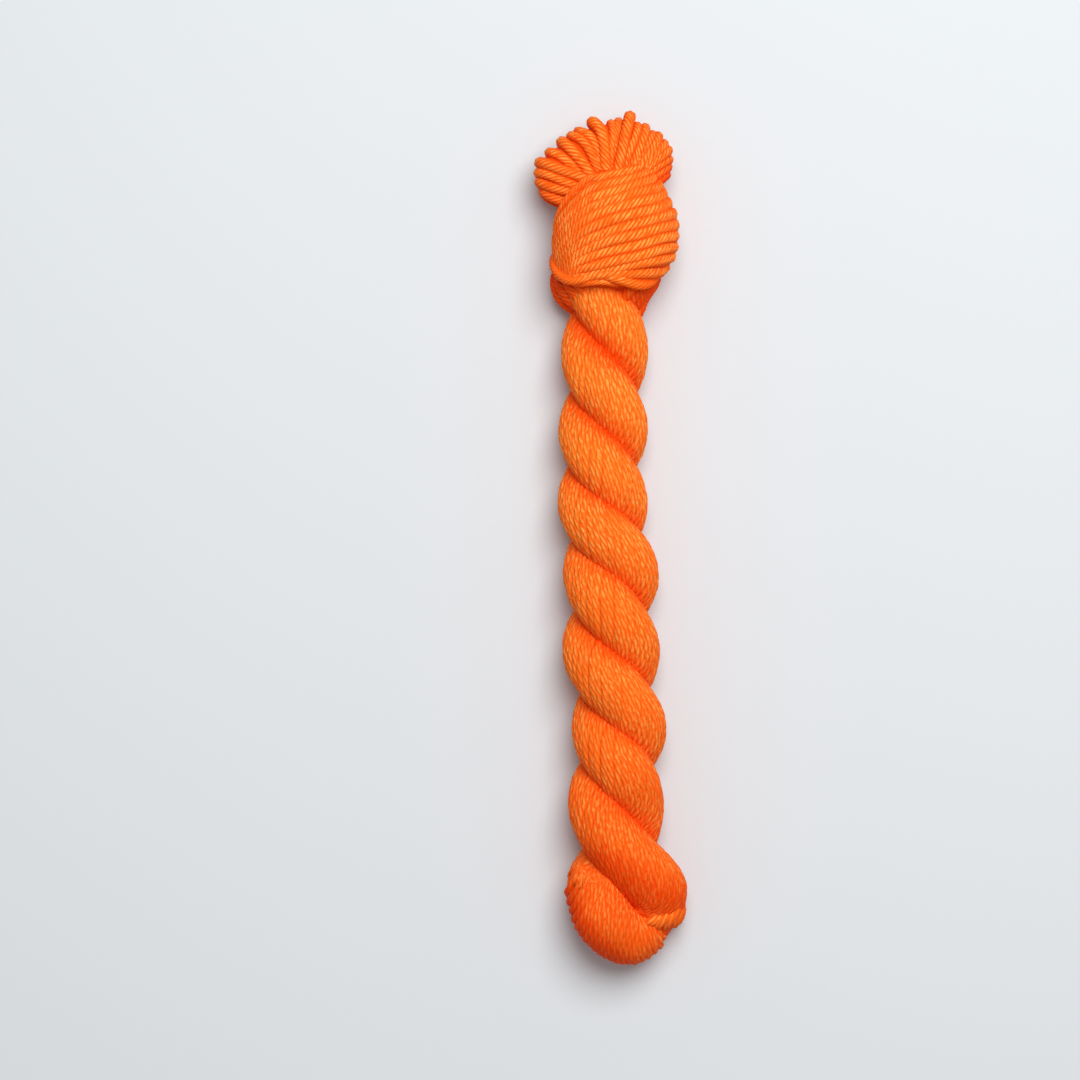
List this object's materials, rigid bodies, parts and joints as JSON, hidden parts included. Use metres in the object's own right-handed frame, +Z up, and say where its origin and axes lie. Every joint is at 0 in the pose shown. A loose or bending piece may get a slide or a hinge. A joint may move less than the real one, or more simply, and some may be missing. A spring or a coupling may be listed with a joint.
{
  "type": "hank of yarn",
  "caption": "Hank of plied orange yarn: a wound skein twisted, folded in half and tucked through its own end, with a ball-shaped collar and a fan of loops.",
  "frame": {"origin": "middle of the hank's box, on the surface it lies on", "axes": "+X across the hank, +Y along it from the fold to the fan of loops, +Z up from the surface"},
  "size_m": [0.0451, 0.25, 0.0322],
  "materials": {
    "yarn": "bright orange plied wool yarn with a soft sheen, matte to satin"
  },
  "bodies": {
    "root": {"hank": "yarn"}
  },
  "joints": []
}
